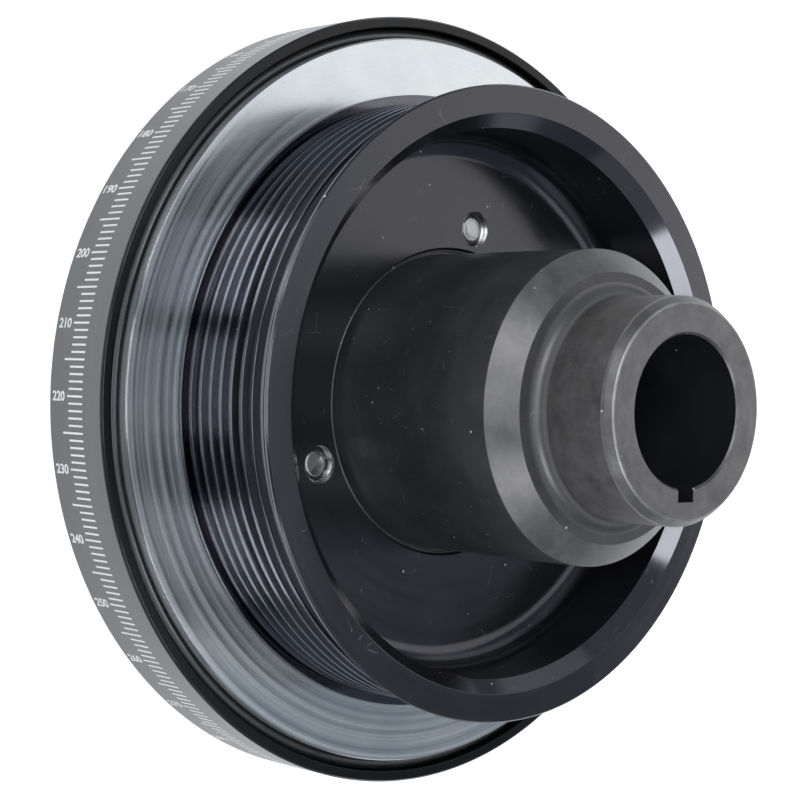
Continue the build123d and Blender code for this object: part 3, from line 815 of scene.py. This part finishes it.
# True for middles nearer to a pulley screw's axis than its hole's edge, and under the dish's floor.
def inTappedHole(at):
    angle = np.radians(around(pulleyScrew["first"], pulleyScrew["count"]))
    centre = pulleyScrew["circle"] * np.stack([np.cos(angle), np.sin(angle)], -1)
    away = np.linalg.norm(at[:, None, :2] - centre[None], axis=2).min(1)
    return (away < pulleyScrew["holeRadius"]) & (at[:, 2] < pulleyFloor - hair)


# True for middles outside the groove bottoms' radius and under the rear flange's edge.
def inGrooves(at):
    bottom = pulleyHigh.x - pulleySize["ribDrop"] - pulleySize["depth"]
    return (fromAxis(at) > bottom - 0.1 * mm) & (at[:, 2] < pulleyHigh.z - 0.4 * mm)


pulley = dress(makePulley(), "blackPulley", "black_aluminium", "pulley")
finishZone(finishZone(pulley, "tappedWall", inTappedHole), "ribCoat", inGrooves)
dishRadius = pulleyHigh.x - pulleySize["rimWidth"]
finishZone(pulley, "cutEdge", lambda at: (at[:, 2] < pulleyHigh.z - sliver) & (
    at[:, 2] > pulleyHigh.z - pulleySize["dishChamfer"] + sliver) & (
    fromAxis(at) < dishRadius + pulleySize["dishChamfer"]) & (fromAxis(at) > dishRadius - sliver))
print("pulley made")

# Hub, with its keyed bore, barrel and seal nose
hubSize = {"boss": 50.5 * mm, "flangeTop": 14.5 * mm, "pilot": 35.5 * mm, "pilotSetback": 0.4 * mm,
           "pilotEdge": 0.34 * mm, "relief": 0.66 * mm, "reliefDepth": 0.9 * mm,
           "barrel": 34.3 * mm, "barrelEnd": 20.0 * mm, "barrelChamfer": 5.2 * mm,
           "noseBend": 3.0 * mm, "noseEdge": 1.4 * mm, "noseEdgeLength": 1.9 * mm, "boreEdge": 0.5 * mm,
           "soft": 0.12 * mm, "keyWidth": 4.76 * mm, "keyDepth": 2.8 * mm, "ringSeat": 2.52 * mm,
           "ringSeatWidth": 4.2 * mm, "segments": 288}
pullerHole = {"circle": 33.35 * mm, "first": -10.0, "count": 3, "radius": 4.76 * mm, "depth": 12.0 * mm,
              "edge": 0.6 * mm}


# The hub's outline turned round Z, then the keyway, the screw recesses and the puller holes cut in.
def makeHub():
    h = hubSize
    top, flange, soft = hubHigh.z, hubHigh.x, h["soft"]
    pilotEnd = pulleyFloor - h["pilotSetback"]
    barrelTop = top - h["barrelEnd"]
    seatMiddle = (webThickness + h["flangeTop"]) / 2
    seatLow, seatHigh = seatMiddle - h["ringSeatWidth"] / 2, seatMiddle + h["ringSeatWidth"] / 2
    outline = roundedProfile([
        (boreRadius, boltRecessDepth, soft), (boltRecessRadius, boltRecessDepth, soft),
        (boltRecessRadius, 0, soft), (h["boss"], 0, soft), (h["boss"], webThickness, soft),
        (flange, webThickness, soft), (flange, seatLow, soft), (flange - h["ringSeat"], seatLow, soft),
        (flange - h["ringSeat"], seatHigh, soft), (flange, seatHigh, soft),
        (flange, h["flangeTop"], soft), (h["pilot"], h["flangeTop"], soft),
        (h["pilot"], pilotEnd - h["pilotEdge"], soft), (h["pilot"] - h["pilotEdge"], pilotEnd, soft),
        (h["barrel"] + h["relief"], pilotEnd, 0.5 * soft),
        (h["barrel"] + h["relief"], pilotEnd - h["reliefDepth"], soft),
        (h["barrel"], pilotEnd - h["reliefDepth"], soft),
        (h["barrel"], barrelTop - h["barrelChamfer"], 2 * soft),
        (h["barrel"] - h["barrelChamfer"], barrelTop, 2 * soft), (noseRadius, barrelTop, h["noseBend"]),
        (noseRadius, top - h["noseEdgeLength"], 9 * soft), (noseRadius - h["noseEdge"], top, 5 * soft),
        (boreRadius + h["boreEdge"], top, soft), (boreRadius, top - h["boreEdge"], soft)], 6)
    hub = revolved("hub.steel", outline, h["segments"])
    reach, half = boreRadius + h["keyDepth"], h["keyWidth"] / 2
    cutters = [prism("keyway", [(0, -half), (reach, -half), (reach, half), (0, half)],
                     boltRecessDepth - beyond, top + beyond)]
    s = pulleyScrew
    seat = s["setback"] + s["headHeight"]
    for degrees in around(s["first"], s["count"]):
        stepped = np.array([(s["recess"], -beyond), (s["recess"], seat), (s["holeRadius"], seat),
                            (s["holeRadius"], h["flangeTop"] + beyond)])
        cutters.append(placed(rodMesh("recess", stepped, 64), s["circle"], degrees))
    for degrees in around(pullerHole["first"], pullerHole["count"]):
        radius, edge = pullerHole["radius"], pullerHole["edge"]
        flared = np.array([(radius + edge + beyond, -beyond), (radius, edge), (radius, pullerHole["depth"])])
        cutters.append(placed(rodMesh("pullerHole", flared, 64), pullerHole["circle"], degrees))
    for degrees in around(shellScrew["first"], shellScrew["count"]):
        plain = np.array([(shellScrew["holeRadius"], webThickness - beyond),
                          (shellScrew["holeRadius"], h["flangeTop"] + beyond)])
        cutters.append(placed(rodMesh("clearHole", plain, 32), shellScrew["circle"], degrees))
    return evenNormals(cutAway(hub, cutters, 30))


hub = dress(makeHub(), "noseSteel", "black_oxide_steel", "hub")
barrelFoot = hubHigh.z - hubSize["barrelEnd"] - hubSize["barrelChamfer"]
finishZone(hub, "barrelSteel", lambda at: (fromAxis(at) > noseRadius) & (at[:, 2] < barrelFoot))


# True for middles inside the bore or its keyway, under the mouth's edge.
def inBore(at):
    roundWall = fromAxis(at) < boreRadius + sliver
    keyway = (at[:, 0] > 0) & (at[:, 0] < boreRadius + hubSize["keyDepth"] + sliver) & (
        np.abs(at[:, 1]) < hubSize["keyWidth"] / 2 + hair)
    mouth = hubHigh.z - 0.5 * hubSize["boreEdge"]
    return (roundWall | keyway) & (at[:, 2] > boltRecessDepth) & (at[:, 2] < mouth)


# the bore and keyway walls get the darker finish, painted shade inside the hole
finishZone(hub, "shadedBoreSteel", inBore)


# A test for middles on the nose's side or its bend into the barrel's end, between two heights.
def onSide(low, high):
    return lambda at: (fromAxis(at) > noseRadius - 0.1 * mm) & (at[:, 2] > low) & (at[:, 2] < high)


barrelTop, bend = hubHigh.z - hubSize["barrelEnd"], hubSize["noseBend"]
finishZone(hub, "bendSteel", onSide(barrelTop + hair, barrelTop + bend))
neckFrom, neckShort, stepFrom, stepHeight = 0.9 * bend, 0.3 * mm, 0.97 * bend, 0.1 * mm
# a thin pale ring at the nose's end edge, all round: partly edge wear, partly a painted highlight
wornSheenReach, wornSheenHeight = 0.35 * mm, 0.32 * mm
finishZone(hub, "neckSteel", onSide(barrelTop + neckFrom, hubHigh.z - hubSize["noseEdgeLength"] - neckShort))
finishZone(hub, "stepSteel", lambda at: (fromAxis(at) > noseRadius + stepFrom) & (
    np.abs(at[:, 2] - barrelTop) < stepHeight))
finishZone(hub, "wornSheenSteel", lambda at: (fromAxis(at) > noseRadius - hubSize["noseEdge"] - wornSheenReach) & (
    fromAxis(at) < noseRadius) & (at[:, 2] > hubHigh.z - wornSheenHeight))
print("hub made")

# Inner shell keeps its CAD shape
innerShell = frame["nodes"]["inner_shell"]
innerShell.data.materials.clear()
innerShell.data.materials.append(finish["blackPulley"])

# Floor, light and camera
studio = {"floorSize": 14.0, "floorColour": 0.86, "floorGlow": 0.55, "room": (0.16, 0.19, 0.23)}
# Each lamp: degrees round from the keyway, degrees up, width and height in degrees, level, colour.
lamps = {"keyLeft": (221, 42, 26, 17, 7.2, (0.97, 0.99, 1.0)),
         "keyCamera": (266, 41, 26, 11, 5.2, (0.97, 0.99, 1.0)),
         "keyRight": (328, 41, 28, 16, 7.0, (0.97, 0.99, 1.0)),
         "front": (270, 64, 28, 24, 1.6, (0.96, 0.98, 1.0)),
         "back": (90, 25, 30, 18, 2.5, (1.0, 0.98, 0.94)),
         "backHigh": (106.5, 43.5, 28, 18, 1.0, (1.0, 0.97, 0.93)),
         "backLeft": (142, 20, 34, 24, 0.5, (1.0, 0.98, 0.94)),
         "left": (182, 34, 34, 34, 0.2, (0.95, 0.98, 1.0)),
         "right": (2, 30, 34, 34, 0.3, (0.95, 0.98, 1.0)),
         "above": (88, 74.5, 54, 36, 1.0, (1.0, 1.0, 1.0)),
         "lowBack": (75, 7, 100, 10, 0.4, (0.95, 0.98, 1.0))}
lampDistance = 1.5
cameraView = {"lens": 92.0, "tilt": 41.664, "roll": 2.385, "turn": -1.3, "rim": 89.85 * mm,
              "place": (0.0589, 0.0017, 5.3794)}


# A pale floor that the camera and glossy rays see as white but for the object's shadow.
def makeFloor():
    half = studio["floorSize"] / 2
    points = np.array([(-half, -half, 0), (half, -half, 0), (half, half, 0), (-half, half, 0)]) - [0, 0, hair]
    floor = makeMesh("floor", points, np.array([[0, 1, 2, 3]]))
    material, tree = newMaterial("floorPaper")
    level = studio["floorColour"]
    paper = addNode(tree, "ShaderNodeBsdfDiffuse", {"Color": (level, level, level, 1)}).outputs[0]
    path = addNode(tree, "ShaderNodeLightPath")
    seen = calc(tree, "MAXIMUM", path.outputs["Is Camera Ray"],
                calc(tree, "MAXIMUM", path.outputs["Is Glossy Ray"], path.outputs["Is Transmission Ray"]))
    strength = calc(tree, "MULTIPLY", seen, studio["floorGlow"])
    glow = addNode(tree, "ShaderNodeEmission", {"Strength": strength}).outputs[0]
    both = addNode(tree, "ShaderNodeAddShader", {0: paper, 1: glow}).outputs[0]
    finishTree(tree, both)
    floor.data.materials.append(material)


# Soft panels that face the part's middle. A panel's power is its level times pi times its area.
def makeLamps():
    middle = Vector((0, 0, hubHigh.z / 2))
    for name, (azimuth, height, width, tall, level, colour) in lamps.items():
        lamp = bpy.data.lights.new(name, "AREA")
        lamp.shape = "RECTANGLE"
        lamp.size, lamp.size_y = (2 * lampDistance * math.tan(math.radians(v / 2)) for v in (width, tall))
        lamp.energy, lamp.color = level * math.pi * lamp.size * lamp.size_y, colour
        turn, up = math.radians(azimuth), math.radians(height)
        away = Vector((math.cos(turn) * math.cos(up), math.sin(turn) * math.cos(up), math.sin(up)))
        holder = addObject(name, lamp)
        holder.location = middle + lampDistance * away
        holder.rotation_euler = (-away).to_track_quat("-Z", "Y").to_euler()


# An even, dim, cool grey room.
def makeWorld():
    world = bpy.data.worlds.new("room")
    world.use_nodes = True
    background = world.node_tree.nodes["Background"]
    background.inputs["Color"].default_value = (*studio["room"], 1)
    background.inputs["Strength"].default_value = 1.0
    bpy.context.scene.world = world


# A camera tilted from the part's axis. Its view's right, down and forward directions are
# turned from the part's axes by the tilt, then by the roll, then by the keyway's small turn.
def makeCamera():
    v = cameraView
    tilt, roll, turn = (math.radians(v[k]) for k in ("tilt", "roll", "turn"))
    axes = np.array([[0, math.cos(tilt), math.sin(tilt)], [1, 0, 0], [0, math.sin(tilt), -math.cos(tilt)]])
    rolled, spun = np.eye(3), np.eye(3)
    rolled[:2, :2] = [[math.cos(roll), -math.sin(roll)], [math.sin(roll), math.cos(roll)]]
    spun[:2, :2] = [[math.cos(turn), math.sin(turn)], [-math.sin(turn), math.cos(turn)]]
    rows = rolled @ axes @ spun
    place = -rows.T @ (np.array(v["place"]) * v["rim"]) + [0, 0, shellHigh.z]
    camera = bpy.data.cameras.new("camera")
    camera.lens, camera.sensor_width = v["lens"], 36.0
    camera.clip_start, camera.clip_end = 0.01, 20.0
    holder = addObject("camera", camera)
    basis = np.stack([rows[0], -rows[1], -rows[2], place], 1)
    holder.matrix_world = Matrix([*basis.tolist(), [0, 0, 0, 1]])
    bpy.context.scene.camera = holder


makeFloor()
makeLamps()
makeWorld()
makeCamera()
bpy.context.scene.view_settings.view_transform = "Standard"
print("floor, light and camera made")
